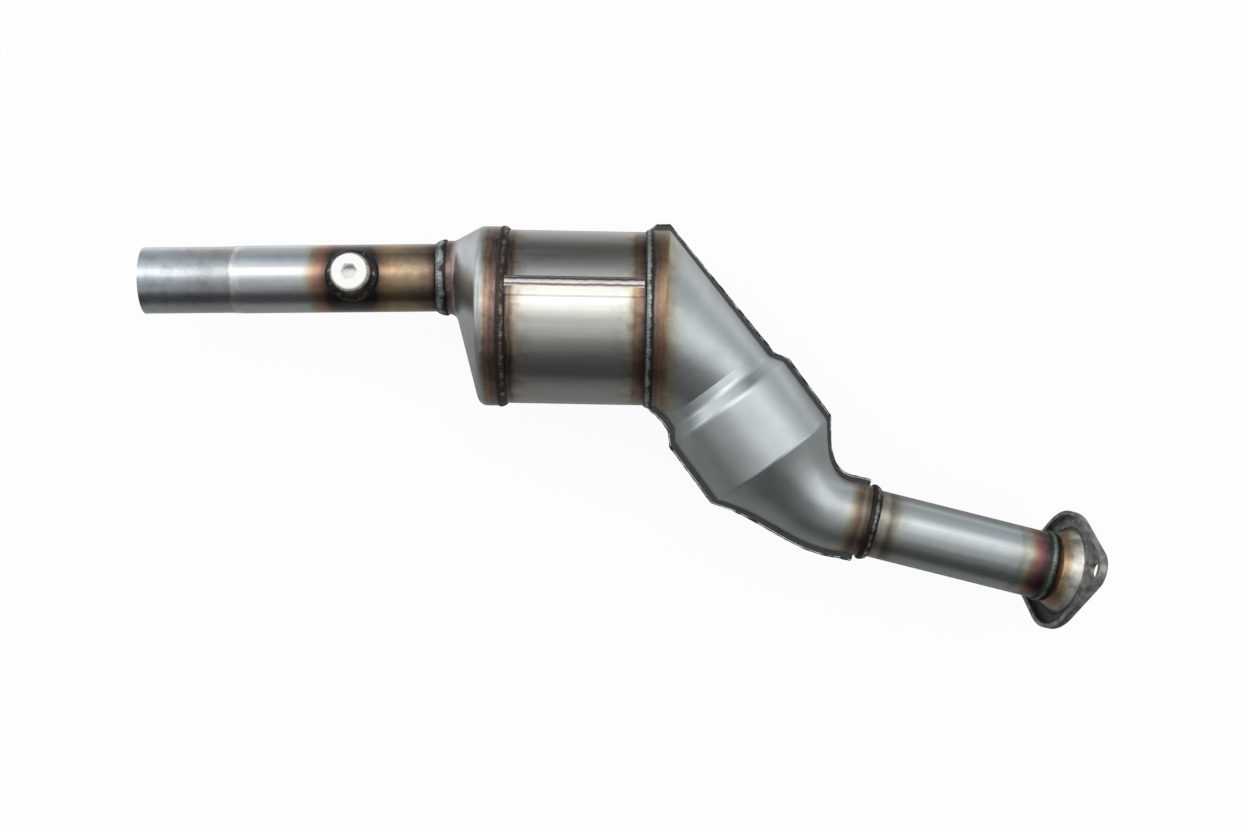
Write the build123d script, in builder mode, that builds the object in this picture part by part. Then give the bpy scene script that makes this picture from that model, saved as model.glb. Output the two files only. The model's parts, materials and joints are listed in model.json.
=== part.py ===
from build123d import *
from math import ceil, cos, hypot, radians, sin
import os

# Catalytic converter of a passenger car: a straight rear pipe with a plugged sensor boss, an
# offset end cone, a rolled can, an elbow of two stamped halves with a second, smaller brick in
# its bulge, a short front pipe and a flared socket in a pressed two-bolt flange.
# Millimetres. The origin is the centre of the rear pipe's open mouth, +X runs along the rear
# pipe into the converter, +Z is up, and every centreline but the socket's lies in the XY plane.

# Fits
fit_gap = 0.15  # clearance between two faces that slip into each other

# Rear pipe, with its end drawn down for the clamp joint
pipe_od = 50.8
pipe_wall = 1.5
spigot_od = 49.8
spigot_length = 66.0
spigot_taper = 7.0
rear_pipe_run = 222.0  # mouth to the edge of the cone's neck
pipe_insert = 12.0  # how far each pipe goes into its collar

# Sensor boss on the rear pipe
boss_x = 159.0
boss_lean = 3.5  # degrees, towards +Y
boss_od = 30.0
boss_top = 36.0  # above the pipe's axis
boss_chamfer = 0.75
boss_bore = 18.0
boss_weld_od = 41.0
boss_weld_height = 3.0
plug_head_od = 26.0
plug_head_height = 4.5
plug_head_blend = 1.1
plug_shank_length = 9.0
plug_hex = 11.0  # across flats
plug_hex_depth = 6.0

# Can and main brick
sheet_wall = 1.5
main_brick_od = 118.4
main_brick_length = 90.0
main_mat = 4.0
mat_setback = 2.0  # how far a mat ends inside its brick's ends
can_length = 121.0
can_turn = 1.63  # degrees, the can's axis turned towards -Y
can_offset = 29.0  # from the rear pipe's axis to the can's, at the can's rear end
lap_step_angle = 10.0  # degrees from the top, where the lapped sheet starts to rise
lap_flat_angle = 11.1
lap_edge_angle = 16.5
seam_bead_angle = 22.9

# Rear end cone
cone_wall = 2.0
neck_length = 12.0
cone_depth = 19.0
skirt_length = 16.0
can_in_skirt = 10.0
neck_blend = 7.0
shoulder_blend = 7.0

# Elbow of two stamped halves
elbow_turn = 54.0  # degrees from +X towards -Y, along the bulge
elbow_lap = 2.0  # can end inside the elbow's collar
elbow_collar = 10.4  # straight length of the collar on the can, at its middle
collar_mitre = 3.9  # degrees, the collar's far end leans into the bend
lip_width = 3.6
lip_rise = 5.0  # length over which a lip grows out of the collar's edge
second_brick_od = 93.0
second_brick_length = 50.0
second_mat = 3.0
bulge_dx = 57.9  # from the can's front end to the start of the bulge
bulge_dy = 63.3
bulge_length = 53.0
bulge_step = 6.4  # how much the bulge stands proud of the neck before it
step_length = 10.0
throat_length = 8.0
waist_dx = 29.7  # from the bulge's end to the waist of the outlet cone
waist_dy = 30.0
waist_turn = 29.0
waist_swell = 4.6  # the waist's radius above the front collar's
outlet_hollow = 1.8  # how far the outlet cone draws in, on the inner side of the bend
outlet_dx = 72.2  # from the bulge's end to the end of the front collar
outlet_dy = 47.8
front_turn = 14.6
front_collar = 15.0
lip_setback = 5.0
step_blend = 8.0
outlet_blend = 4.0

# Front pipe, flared socket and flange
front_pipe_run = 135.0
socket_dip = 12.3  # degrees, the socket points down below the front pipe
socket_wall = 1.6
socket_tube = 5.3
flare_blend = 3.0
flare_length = 11.5
gasket_seat_od = 64.4
flange_depth = 8.0
flange_plate = 3.0
flange_edge_blend = 3.5
flange_waist = 45.0  # radius of the flange's middle
flange_lobe = 16.5  # radius of each bolt lobe
bolt_spacing = 100.0
bolt_hole = 11.0
flange_roll = 8.1  # degrees, the line of the bolts from upright
lip_weld = 1.5

# Weld beads
bead_reach = 4.0
bead_cover = 3.0
bead_crown = 1.0
small_bead_reach = 3.0
small_bead_cover = 6.0
small_bead_crown = 0.6
seam_bead = 1.4

# Honeycomb, drawn coarser than a real substrate
cell_pitch = 9.5
cell_web = 1.4


def heading(point, turn, dip=0.0):
    """Plane across a centreline: local x to its left, local y up, normal along it."""
    level = cos(radians(dip))
    along = (cos(radians(turn)) * level, -sin(radians(turn)) * level, -sin(radians(dip)))
    left = (sin(radians(turn)), cos(radians(turn)), 0)
    return Plane(origin=point, x_dir=left, z_dir=along)


def lengthwise(across):
    """Plane that holds a centreline: local x along it, local y the radius."""
    return Plane(origin=across.origin, x_dir=across.z_dir, z_dir=across.y_dir)


def centreline(across):
    return Axis(across.origin, across.z_dir)


# Radii that follow from the sizes above
pipe_r = pipe_od / 2
collar_r = pipe_r + fit_gap + sheet_wall
can_in_r = main_brick_od / 2 + main_mat + 2 * fit_gap
can_r = can_in_r + sheet_wall
skirt_r = can_r + fit_gap + cone_wall
neck_r = pipe_r + fit_gap + cone_wall
elbow_r = can_r + fit_gap + sheet_wall
bulge_in_r = second_brick_od / 2 + second_mat + 2 * fit_gap
bulge_r = bulge_in_r + sheet_wall
throat_r = bulge_r - bulge_step
waist_r = collar_r + waist_swell
socket_mouth_r = gasket_seat_od / 2 + socket_wall

# Stations along the centrelines
rear = heading((0, 0, 0), 0)
neck_edge = rear.offset(rear_pipe_run)
neck_end = neck_edge.offset(neck_length)
shoulder = heading((rear_pipe_run + neck_length + cone_depth, -can_offset, 0), can_turn)
skirt_edge = shoulder.offset(skirt_length)
can_rear = skirt_edge.offset(-can_in_skirt)
can_front = can_rear.offset(can_length)
elbow_edge = can_front.offset(-elbow_lap)
brick_rear = can_rear.offset((can_length - main_brick_length) / 2)
bulge_start = heading(can_front.origin + Vector(bulge_dx, -bulge_dy), elbow_turn)
bulge_end = bulge_start.offset(bulge_length)
waist = heading(bulge_end.origin + Vector(waist_dx, -waist_dy), waist_turn)
outlet_cone = heading((bulge_end.origin + waist.origin) / 2, (elbow_turn + waist_turn) / 2)
front = heading(bulge_end.origin + Vector(outlet_dx, -outlet_dy), front_turn)
front_collar_start = front.offset(-front_collar)
pipe_end = front.offset(front_pipe_run)
pipe_mitre = heading(pipe_end.origin, front_turn, socket_dip / 2)
socket = heading(pipe_end.origin, front_turn, socket_dip)
flange_rear = socket.offset(socket_tube + flare_length + flange_plate - flange_depth)
flange_face = flange_rear.offset(flange_depth)


def fillet_bead(across, side, low_r, high_r, reach, cover, crown):
    """Section of a bead over the step from one tube to the collar on it; side +1 faces along."""
    foot = (side * reach, low_r)
    top = (-side * cover, high_r)
    rear_crest = (-side * cover / 2, high_r + crown)
    front_crest = (side * reach / 2, high_r + crown)
    with BuildSketch(lengthwise(across)) as section:
        with BuildLine():
            Polyline(top, (0, high_r), (0, low_r), foot, front_crest, rear_crest, close=True)
        make_face()
    return section.sketch


# Rear pipe, with the hole that the sensor reaches through
boss_axis = Plane(origin=(boss_x, 0, 0), x_dir=(1, 0, 0),
                  z_dir=(0, sin(radians(boss_lean)), cos(radians(boss_lean))))
with BuildPart() as rear_pipe:
    with BuildSketch(lengthwise(rear)):
        with BuildLine():
            Polyline((0, spigot_od / 2), (spigot_length, spigot_od / 2),
                     (spigot_length + spigot_taper, pipe_r),
                     (rear_pipe_run + pipe_insert, pipe_r),
                     (rear_pipe_run + pipe_insert, pipe_r - pipe_wall),
                     (spigot_length + spigot_taper, pipe_r - pipe_wall),
                     (spigot_length, spigot_od / 2 - pipe_wall),
                     (0, spigot_od / 2 - pipe_wall), close=True)
        make_face()
    revolve(axis=centreline(rear))
    with BuildSketch(boss_axis):
        Circle(boss_bore / 2)
    extrude(amount=boss_top, mode=Mode.SUBTRACT)
rear_pipe.part.label = "rear_pipe"

# A solid bar as thick as the pipe, which the boss and its weld are saddled to
with BuildPart() as pipe_bar:
    with BuildSketch(rear):
        Circle(pipe_r)
    extrude(amount=rear_pipe_run)

with BuildPart() as sensor_boss:
    with BuildSketch(boss_axis):
        Circle(boss_od / 2)
    extrude(amount=boss_top)
    chamfer(sensor_boss.faces().sort_by(Axis.Z)[-1].edges(), length=boss_chamfer)
    with BuildSketch(boss_axis):
        Circle(boss_bore / 2)
    extrude(amount=boss_top, mode=Mode.SUBTRACT)
    add(pipe_bar.part, mode=Mode.SUBTRACT)
sensor_boss.part.label = "sensor_boss"

with BuildPart() as sensor_boss_weld:
    with BuildSketch(rear.offset(boss_x - boss_weld_od)):
        Circle(pipe_r + boss_weld_height)
    extrude(amount=2 * boss_weld_od)
    with BuildSketch(boss_axis):
        Circle(boss_weld_od / 2)
    extrude(amount=boss_top, mode=Mode.INTERSECT)
    add(pipe_bar.part, mode=Mode.SUBTRACT)
    with BuildSketch(boss_axis):
        Circle(boss_od / 2)
    extrude(amount=boss_top, mode=Mode.SUBTRACT)
sensor_boss_weld.part.label = "sensor_boss_weld"

# Plastic plug that keeps dirt out of the sensor thread until the part is fitted
with BuildPart() as sensor_plug:
    with BuildSketch(boss_axis.offset(boss_top)):
        Circle(plug_head_od / 2)
    extrude(amount=plug_head_height)
    fillet(sensor_plug.faces().sort_by(Axis.Z)[-1].edges(), radius=plug_head_blend)
    with BuildSketch(boss_axis.offset(boss_top - plug_shank_length)):
        Circle(boss_bore / 2 - fit_gap)
    extrude(amount=plug_shank_length)
    with BuildSketch(boss_axis.offset(boss_top + plug_head_height)):
        RegularPolygon(plug_hex / 2, 6, major_radius=False)
    extrude(amount=-plug_hex_depth, mode=Mode.SUBTRACT)
sensor_plug.part.label = "sensor_plug"


def ring_at(form, across):
    """The form's round edges centred on a station."""
    return [edge for edge in form.edges().filter_by(GeomType.CIRCLE)
            if (edge.arc_center - across.origin).length < 1e-3]


def cone_form(inset):
    """Rear end cone as a solid, with every face moved in by the inset."""
    with BuildPart() as form:
        with BuildSketch(neck_edge):
            Circle(neck_r - inset)
        extrude(amount=neck_length)
        with BuildSketch(neck_end):
            Circle(neck_r - inset)
        with BuildSketch(shoulder):
            Circle(skirt_r - inset)
        loft(ruled=True)
        with BuildSketch(shoulder):
            Circle(skirt_r - inset)
        extrude(amount=skirt_length)
        fillet(ring_at(form, neck_end), radius=neck_blend + inset)
        fillet(ring_at(form, shoulder), radius=shoulder_blend - inset)
    return form.part


with BuildPart() as rear_cone:
    add(cone_form(0))
    add(cone_form(cone_wall), mode=Mode.SUBTRACT)
rear_cone.part.label = "rear_cone"

with BuildPart() as rear_collar_weld:
    revolve(fillet_bead(neck_edge, -1, pipe_r, neck_r, small_bead_reach, small_bead_cover,
                        small_bead_crown), axis=centreline(neck_edge))
rear_collar_weld.part.label = "rear_collar_weld"

# Can rolled from sheet, its edge joggled to lap over the other along the top
lap_start = bead_reach + can_in_skirt
lap_length = can_length - elbow_lap - bead_reach - lap_start
with BuildPart() as shell:
    with BuildSketch(can_rear):
        Circle(can_r)
        Circle(can_in_r, mode=Mode.SUBTRACT)
    extrude(amount=can_length)
    with BuildSketch(can_rear.offset(lap_start)):
        with BuildLine():
            top_arc = CenterArc((0, 0), can_r + sheet_wall, 90 - lap_edge_angle,
                                lap_edge_angle - lap_flat_angle)
            low_arc = CenterArc((0, 0), can_r, 90 - lap_edge_angle,
                                lap_edge_angle - lap_step_angle)
            Line(low_arc @ 0, top_arc @ 0)
            Line(low_arc @ 1, top_arc @ 1)
        make_face()
    extrude(amount=lap_length)
shell.part.label = "shell"

with BuildPart() as shell_seam_weld:
    with BuildSketch(can_rear.offset(lap_start)):
        with BuildLine():
            seat_arc = CenterArc((0, 0), can_r, 90 - seam_bead_angle,
                                 seam_bead_angle - lap_edge_angle)
            crest = Vector(0, can_r + sheet_wall)
            flank = Line(seat_arc @ 1, crest.rotate(Axis.Z, -lap_edge_angle))
            crest_angle = (seam_bead_angle + lap_edge_angle) / 2
            ThreePointArc(seat_arc @ 0, crest.rotate(Axis.Z, -crest_angle), flank @ 1)
        make_face()
    extrude(amount=lap_length)
shell_seam_weld.part.label = "shell_seam_weld"

with BuildPart() as rear_girth_weld:
    revolve(fillet_bead(skirt_edge, 1, can_r, skirt_r, bead_reach, bead_cover, bead_crown),
            axis=centreline(skirt_edge))
rear_girth_weld.part.label = "rear_girth_weld"


def elbow_form(grow, lip=0.0):
    """The elbow's outside as a solid, its sections grown, and more by a lip past the rear edge."""
    full = grow + lip
    with BuildPart() as form:
        lip_top = elbow_edge.offset(lip_rise)
        mitre = heading(elbow_edge.offset(elbow_collar).origin, can_turn + collar_mitre)
        stretch = 1 / cos(radians(collar_mitre))
        with BuildSketch(elbow_edge):
            Circle(elbow_r + grow)
        with BuildSketch(lip_top):
            Circle(elbow_r + full)
        loft(ruled=True)
        with BuildSketch(lip_top):
            Circle(elbow_r + full)
        with BuildSketch(mitre):
            Ellipse((elbow_r + full) * stretch, elbow_r + full)
        loft(ruled=True)
        with BuildSketch(mitre):
            Ellipse((elbow_r + full) * stretch, elbow_r + full)
        with BuildSketch(bulge_start.offset(-step_length - throat_length)):
            Circle(throat_r + full)
        loft(ruled=True)
        with BuildSketch(bulge_start.offset(-step_length - throat_length)):
            Circle(throat_r + full)
        extrude(amount=throat_length)
        with BuildSketch(bulge_start.offset(-step_length)):
            Circle(throat_r + full)
        with BuildSketch(bulge_start):
            Circle(bulge_r + full)
        loft(ruled=True)
        with BuildSketch(bulge_start):
            Circle(bulge_r + full)
        extrude(amount=bulge_length)
        with BuildSketch(bulge_end):
            Circle(bulge_r + full)
        with BuildSketch(outlet_cone):
            with Locations((outlet_hollow, 0)):
                Circle((bulge_r + waist_r) / 2 - outlet_hollow + full)
        with BuildSketch(waist):
            Circle(waist_r + full)
        with BuildSketch(front_collar_start):
            Circle(collar_r + full)
        loft()
        with BuildSketch(front_collar_start):
            Circle(collar_r + full)
        extrude(amount=front_collar)
        step_start = bulge_start.offset(-step_length)
        fillet([*ring_at(form, step_start), *ring_at(form, bulge_start)], radius=step_blend)
        fillet(ring_at(form, bulge_end), radius=outlet_blend)
    return form.part


slab_side = 4 * front.origin.X  # wider than the elbow, for the slabs that cut its lips
elbow_inside = elbow_form(-sheet_wall)

# Each half has a flat lip all along both sides, where the two halves meet
with BuildPart() as elbow_upper_half:
    add(elbow_form(0, lip_width))
    Box(slab_side, slab_side, sheet_wall, align=(Align.CENTER, Align.CENTER, Align.MIN),
        mode=Mode.INTERSECT)
    split(bisect_by=front.offset(-lip_setback), keep=Keep.BOTTOM)
    add(elbow_form(0))
    split(bisect_by=Plane.XY, keep=Keep.TOP)
    add(elbow_inside, mode=Mode.SUBTRACT)
elbow_upper_half.part.label = "elbow_upper_half"

with BuildPart() as elbow_lower_half:
    add(mirror(elbow_upper_half.part, about=Plane.XY, mode=Mode.PRIVATE))
elbow_lower_half.part.label = "elbow_lower_half"

# Beads that close the lips' edges, one on each side of the elbow
with BuildPart() as seam_beads:
    add(elbow_form(seam_bead, lip_width))
    Box(slab_side, slab_side, 2 * sheet_wall, mode=Mode.INTERSECT)
    split(bisect_by=front.offset(-lip_setback), keep=Keep.BOTTOM)
    add(elbow_form(0, lip_width), mode=Mode.SUBTRACT)

with BuildPart() as elbow_outer_seam_weld:
    add(seam_beads.solids().sort_by(Axis.Y)[-1])
elbow_outer_seam_weld.part.label = "elbow_outer_seam_weld"

with BuildPart() as elbow_inner_seam_weld:
    add(seam_beads.solids().sort_by(Axis.Y)[0])
elbow_inner_seam_weld.part.label = "elbow_inner_seam_weld"

with BuildPart() as front_girth_weld:
    revolve(fillet_bead(elbow_edge, -1, can_r, elbow_r, bead_reach, bead_cover, bead_crown),
            axis=centreline(elbow_edge))
    add(elbow_upper_half.part, mode=Mode.SUBTRACT)
    add(elbow_lower_half.part, mode=Mode.SUBTRACT)
    add(seam_beads.part, mode=Mode.SUBTRACT)
front_girth_weld.part.label = "front_girth_weld"

with BuildPart() as front_collar_weld:
    revolve(fillet_bead(front, 1, pipe_r, collar_r, bead_reach, bead_cover, bead_crown),
            axis=centreline(front))
front_collar_weld.part.label = "front_collar_weld"

with BuildPart() as front_pipe:
    with BuildSketch(front.offset(-pipe_insert)):
        Circle(pipe_r)
        Circle(pipe_r - pipe_wall, mode=Mode.SUBTRACT)
    extrude(amount=pipe_insert + front_pipe_run + pipe_r)
    split(bisect_by=pipe_mitre, keep=Keep.BOTTOM)
front_pipe.part.label = "front_pipe"


def socket_bar(inset):
    """Flared socket as a solid bar, mitred to the pipe, with its outside moved in by the inset."""
    seat = socket_tube + flare_length
    lip = seat + flange_plate - lip_weld
    with BuildPart() as bar:
        with BuildSketch(lengthwise(socket)):
            with BuildLine():
                outside = FilletPolyline((-pipe_insert, pipe_r - inset),
                                         (socket_tube, pipe_r - inset),
                                         (seat, socket_mouth_r - inset),
                                         (lip, socket_mouth_r - inset), radius=flare_blend)
                Polyline(outside @ 1, (lip, 0), (-pipe_insert, 0), outside @ 0)
            make_face()
        revolve(axis=centreline(socket))
        split(bisect_by=pipe_mitre, keep=Keep.TOP)
    return bar.part


# The socket points down a little, so it meets the pipe at a mitre
with BuildPart() as flared_socket:
    add(socket_bar(0))
    add(socket_bar(socket_wall), mode=Mode.SUBTRACT)
flared_socket.part.label = "flared_socket"

with BuildPart() as front_bar:
    with BuildSketch(pipe_end.offset(-pipe_insert)):
        Circle(pipe_r)
    extrude(amount=pipe_insert + pipe_r)
    split(bisect_by=pipe_mitre, keep=Keep.BOTTOM)

with BuildPart() as socket_weld:
    with BuildSketch(lengthwise(pipe_mitre)):
        with BuildLine():
            Polyline((-bead_reach, 0), (-bead_reach, pipe_r),
                     (-bead_reach / 2, pipe_r + bead_crown),
                     (bead_cover / 2, pipe_r + bead_crown), (bead_cover, pipe_r),
                     (bead_cover, 0), close=True)
        make_face()
    revolve(axis=centreline(pipe_mitre))
    add(front_bar.part, mode=Mode.SUBTRACT)
    add(socket_bar(0), mode=Mode.SUBTRACT)
socket_weld.part.label = "socket_weld"

# Pressed flange: a thin plate with its edge turned back towards the converter
bolt_line = Vector(0, bolt_spacing / 2).rotate(Axis.Z, -flange_roll)
with BuildPart() as flange:
    with BuildSketch(flange_rear) as flange_outline:
        Circle(flange_waist)
        with Locations(bolt_line, -bolt_line):
            Circle(flange_lobe)
        make_hull()
    extrude(amount=flange_depth)
    front_rim = flange.faces().sort_by(centreline(flange_rear))[-1].edges()
    fillet(front_rim, radius=flange_edge_blend)
    with BuildSketch(flange_rear):
        offset(flange_outline.sketch_local, amount=-flange_plate)
    extrude(amount=flange_depth - flange_plate, mode=Mode.SUBTRACT)
    with BuildSketch(flange_rear):
        Circle(socket_mouth_r + fit_gap)
        with Locations(bolt_line, -bolt_line):
            Circle(bolt_hole / 2)
    extrude(amount=flange_depth, mode=Mode.SUBTRACT)
flange.part.label = "flange"

with BuildPart() as flange_weld:
    with BuildSketch(flange_face):
        Circle(socket_mouth_r + fit_gap)
        Circle(socket_mouth_r - socket_wall, mode=Mode.SUBTRACT)
    extrude(amount=-lip_weld)
flange_weld.part.label = "flange_weld"


def honeycomb_section(across, radius):
    """Face of a brick: a disc with every whole square cell that fits inside its skin."""
    count = 2 * ceil(radius / cell_pitch) + 1
    with BuildSketch(across) as section:
        Circle(radius)
        cells = [spot for spot in GridLocations(cell_pitch, cell_pitch, count, count).local_locations
                 if hypot(abs(spot.position.X) + cell_pitch / 2,
                          abs(spot.position.Y) + cell_pitch / 2) < radius]
        with Locations(*cells):
            Rectangle(cell_pitch - cell_web, cell_pitch - cell_web, mode=Mode.SUBTRACT)
    return section.sketch


# Bricks, each held in its housing by a mat
with BuildPart() as main_brick:
    extrude(honeycomb_section(brick_rear, main_brick_od / 2), amount=main_brick_length)
main_brick.part.label = "main_brick"

with BuildPart() as main_mat_sleeve:
    with BuildSketch(brick_rear.offset(mat_setback)):
        Circle(can_in_r - fit_gap)
        Circle(can_in_r - fit_gap - main_mat, mode=Mode.SUBTRACT)
    extrude(amount=main_brick_length - 2 * mat_setback)
main_mat_sleeve.part.label = "main_mat"

second_start = bulge_start.offset((bulge_length - second_brick_length) / 2)
with BuildPart() as second_brick:
    extrude(honeycomb_section(second_start, second_brick_od / 2), amount=second_brick_length)
second_brick.part.label = "second_brick"

with BuildPart() as second_mat_sleeve:
    with BuildSketch(second_start.offset(mat_setback)):
        Circle(bulge_in_r - fit_gap)
        Circle(bulge_in_r - fit_gap - second_mat, mode=Mode.SUBTRACT)
    extrude(amount=second_brick_length - 2 * mat_setback)
second_mat_sleeve.part.label = "second_mat"

pieces = [rear_pipe, sensor_boss, sensor_boss_weld, sensor_plug, rear_collar_weld, rear_cone,
          rear_girth_weld, shell, shell_seam_weld, front_girth_weld, elbow_upper_half,
          elbow_lower_half, elbow_outer_seam_weld, elbow_inner_seam_weld, front_collar_weld,
          front_pipe, socket_weld, flared_socket, flange, flange_weld, main_brick,
          main_mat_sleeve, second_brick, second_mat_sleeve]
os.makedirs("parts", exist_ok=True)
for piece in pieces:
    export_step(piece.part, f"parts/{piece.part.label}.step")
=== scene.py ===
import bpy
import json
import math
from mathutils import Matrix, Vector, noise


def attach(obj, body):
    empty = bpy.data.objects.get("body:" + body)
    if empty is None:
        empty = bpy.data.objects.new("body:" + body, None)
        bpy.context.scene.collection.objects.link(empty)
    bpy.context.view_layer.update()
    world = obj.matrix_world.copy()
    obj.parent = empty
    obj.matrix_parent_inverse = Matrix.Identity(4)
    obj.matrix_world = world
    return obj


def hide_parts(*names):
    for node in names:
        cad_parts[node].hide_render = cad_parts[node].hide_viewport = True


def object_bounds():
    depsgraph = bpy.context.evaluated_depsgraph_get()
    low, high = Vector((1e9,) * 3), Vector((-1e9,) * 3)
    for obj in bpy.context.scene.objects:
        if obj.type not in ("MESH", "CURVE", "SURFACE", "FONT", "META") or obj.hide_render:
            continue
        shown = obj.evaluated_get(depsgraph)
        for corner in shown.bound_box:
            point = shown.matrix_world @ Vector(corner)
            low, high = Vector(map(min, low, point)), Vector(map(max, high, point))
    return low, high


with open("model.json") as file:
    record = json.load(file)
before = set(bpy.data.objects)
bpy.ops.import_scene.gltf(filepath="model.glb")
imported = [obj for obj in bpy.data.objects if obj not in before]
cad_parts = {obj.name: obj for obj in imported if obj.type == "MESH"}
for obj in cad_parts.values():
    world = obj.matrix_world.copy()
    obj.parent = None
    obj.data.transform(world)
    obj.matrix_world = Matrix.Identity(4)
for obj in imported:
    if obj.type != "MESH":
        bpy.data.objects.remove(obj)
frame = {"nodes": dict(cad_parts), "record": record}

cadLow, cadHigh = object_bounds()
nodes = frame["nodes"]
print("frame loaded,", len(nodes), "nodes")

# The line of the pipes from the rear mouth to the flange, in metres and degrees
line = {
    "bossAt": 0.159, "bossLean": 3.5, "rearPipe": 0.222, "cone": 0.031, "canAside": -0.029,
    "skirt": 0.016, "canTurn": 1.63, "can": 0.109, "canInElbow": 0.002,
    "toBulge": (0.0579, -0.0633, 0), "bulgeTurn": 54.0, "bulge": 0.053,
    "toFrontPipe": (0.0722, -0.0478, 0), "frontTurn": 14.6, "frontPipe": 0.135, "socketDip": 12.3,
}


def heading(turn, dip=0.0):  # turned from +X towards -Y, then dipped below level
    turn, dip = math.radians(turn), math.radians(dip)
    return Vector((math.cos(turn) * math.cos(dip), -math.sin(turn) * math.cos(dip), -math.sin(dip)))


rearWay = heading(0)
canWay = heading(line["canTurn"])
frontWay = heading(line["frontTurn"])
bossLean = math.radians(line["bossLean"])
bossAxis = Vector((0, math.sin(bossLean), math.cos(bossLean)))
neckEdge = rearWay * line["rearPipe"]
skirtEdge = neckEdge + Vector((line["cone"], line["canAside"], 0)) + canWay * line["skirt"]
elbowEdge = skirtEdge + canWay * line["can"]
bulgeStart = elbowEdge + canWay * line["canInElbow"] + Vector(line["toBulge"])
bulgeEnd = bulgeStart + heading(line["bulgeTurn"]) * line["bulge"]
frontEdge = bulgeEnd + Vector(line["toFrontPipe"])
pipeEnd = frontEdge + frontWay * line["frontPipe"]
mounts = {mount["name"]: mount for mount in frame["record"]["mounts"]}

# Stations: a point on the centreline and the way it runs there
stations = {
    "mouth": (Vector((0, 0, 0)), rearWay),
    "bossCentre": (rearWay * line["bossAt"], bossAxis),
    "neckEdge": (neckEdge, rearWay),
    "skirtEdge": (skirtEdge, canWay),
    "elbowEdge": (elbowEdge, canWay),
    "frontEdge": (frontEdge, frontWay),
    "pipeEnd": (pipeEnd, heading(line["frontTurn"], line["socketDip"] / 2)),
    "flangeFace": (Vector(mounts["flange_bolts"]["pos_m"]), heading(line["frontTurn"], line["socketDip"])),
}


# A node's socket that takes part in Python sums
class Wire:
    def __init__(self, board, socket):
        self.board = board
        self.socket = socket

    def sum(self, operation, first, second):
        return self.board.node("Math", {"operation": operation}, {0: first, 1: second})

    def __add__(self, other):
        return self.sum("ADD", self, other)

    def __radd__(self, other):
        return self.sum("ADD", other, self)

    def __sub__(self, other):
        return self.sum("SUBTRACT", self, other)

    def __rsub__(self, other):
        return self.sum("SUBTRACT", other, self)

    def __mul__(self, other):
        return self.sum("MULTIPLY", self, other)

    def __truediv__(self, other):
        return self.sum("DIVIDE", self, other)

    def clamp(self):
        return self.board.node("Clamp", {}, {"Value": self})

    def out(self, name):  # another output of the same node
        return Wire(self.board, self.socket.node.outputs[name])


perMetre = 1000  # patterns are sized in millimetres


# A node tree that nodes are added to
class Board:
    def __init__(self, tree, family="ShaderNode"):
        self.tree = tree
        self.family = family
        tree.nodes.clear()

    def node(self, kind, settings, sockets, output=0):
        shared = kind in ("Math", "VectorMath", "Mix", "Clamp", "MapRange", "TexNoise",
                          "TexVoronoi", "SeparateXYZ", "CombineXYZ")
        family = "ShaderNode" if shared else self.family
        made = self.tree.nodes.new(kind if kind.startswith("NodeGroup") else family + kind)
        for name, value in settings.items():
            if name == "stops":
                ramp = made.color_ramp
                while len(ramp.elements) < len(value):
                    ramp.elements.new(1)
                for element, (place, colour) in zip(ramp.elements, value):
                    element.position = place
                    element.color = colour
            else:
                setattr(made, name, value)
        for name, value in sockets.items():
            if isinstance(value, Wire):
                self.tree.links.new(value.socket, made.inputs[name])
            else:
                made.inputs[name].default_value = value
        return Wire(self, made.outputs[output]) if made.outputs else made

    # A Mix node takes its factor in socket 0, vectors in 4 and 5, and colours in 6 and 7
    def blend(self, factor, under, over, mode="MIX"):
        under, over = [c if isinstance(c, Wire) else (*c[:3], 1) for c in (under, over)]
        return self.node("Mix", {"data_type": "RGBA", "blend_type": mode},
                         {0: factor, 6: under, 7: over}, 2)

    def length(self, ahead, aside):  # of the two sides of a right angle
        return self.node("Math", {"operation": "SQRT"}, {0: ahead * ahead + aside * aside})

    def size(self, value):  # without its sign
        return self.node("Math", {"operation": "ABSOLUTE"}, {0: value})

    def place(self):  # where a point is on the object, in millimetres
        spot = self.node("TexCoord", {}, {}, "Object")
        return self.node("VectorMath", {"operation": "SCALE"}, {0: spot, "Scale": perMetre})

    def along(self, spot, station):  # millimetres past a station
        point, way = station
        shifted = self.node("VectorMath", {"operation": "SUBTRACT"}, {0: spot, 1: point * perMetre})
        return self.node("VectorMath", {"operation": "DOT_PRODUCT"}, {0: shifted, 1: way}, "Value")

    def stretch(self, spot, sizes, turn=(0, 0, 0)):  # pattern cells of this size along each axis
        return self.node("Mapping", {"vector_type": "TEXTURE"},
                         {"Vector": spot, "Rotation": turn, "Scale": sizes})

    def cloud(self, spot, size=1.0, detail=3.0, rough=0.5):
        return self.node("TexNoise", {}, {"Vector": spot, "Scale": 1.0 / size, "Detail": detail,
                                          "Roughness": rough})

    def ramp(self, value, low, high, stops):  # stops: (where in millimetres, colour, strength)
        share = self.node("MapRange", {}, {"Value": value, "From Min": low, "From Max": high})
        fitted = [((at - low) / (high - low), (*colour, strength)) for at, colour, strength in stops]
        return self.node("ValToRGB", {"stops": fitted}, {"Fac": share})

    def step(self, value, low, high):  # 0 below low, 1 above high, smooth between
        return self.node("MapRange", {"interpolation_type": "SMOOTHSTEP"},
                         {"Value": value, "From Min": low, "From Max": high})


coatRough = 0.22  # of the thin oxide on heated steel
bumpDepth = 0.001  # metres for a height of 1


def newMaterial(name):
    material = bpy.data.materials.new(name)
    material.use_nodes = True
    board = Board(material.node_tree)
    return material, board


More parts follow.
